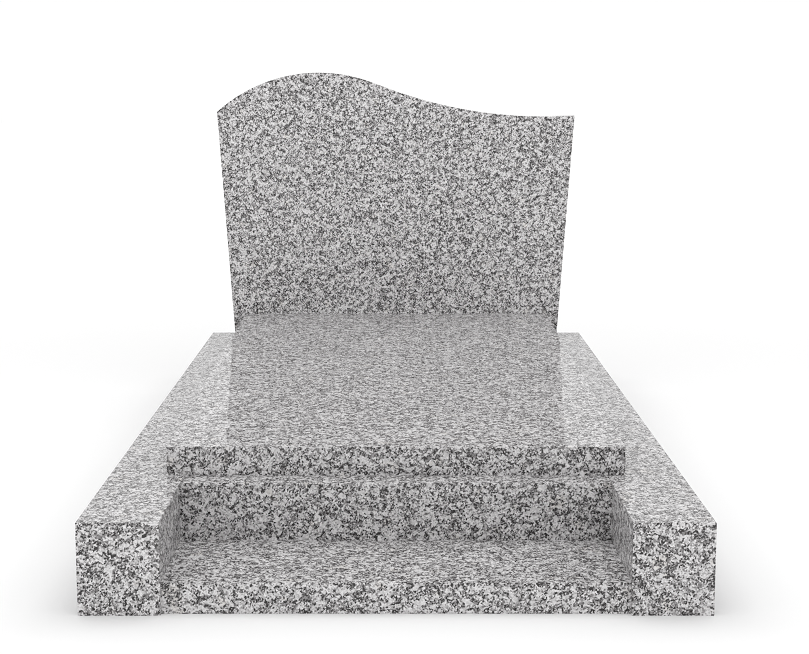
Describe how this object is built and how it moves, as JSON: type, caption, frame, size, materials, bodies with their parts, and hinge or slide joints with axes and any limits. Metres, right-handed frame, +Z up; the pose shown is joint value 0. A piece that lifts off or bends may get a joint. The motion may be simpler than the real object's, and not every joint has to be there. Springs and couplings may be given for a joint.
{
  "type": "granite grave monument",
  "caption": "Grave monument in polished grey granite: kerb frame with a flower recess in front, ledger that falls to the front and headstone with a wave-shaped top.",
  "frame": {"origin": "on the ground, at the middle of the kerb frame's 1.00 by 2.00 m plan", "axes": "+X to the right seen from the front, +Y from the flower recess to the headstone, +Z up"},
  "size_m": [1, 2, 0.8523],
  "materials": {
    "granite": "polished, light grey with dark and mid-grey grains of 2 to 8 mm"
  },
  "bodies": {
    "root": {"left_kerb": "granite", "right_kerb": "granite", "rear_kerb": "granite", "front_slab": "granite", "riser": "granite", "ledger": "granite", "headstone": "granite"}
  },
  "joints": []
}
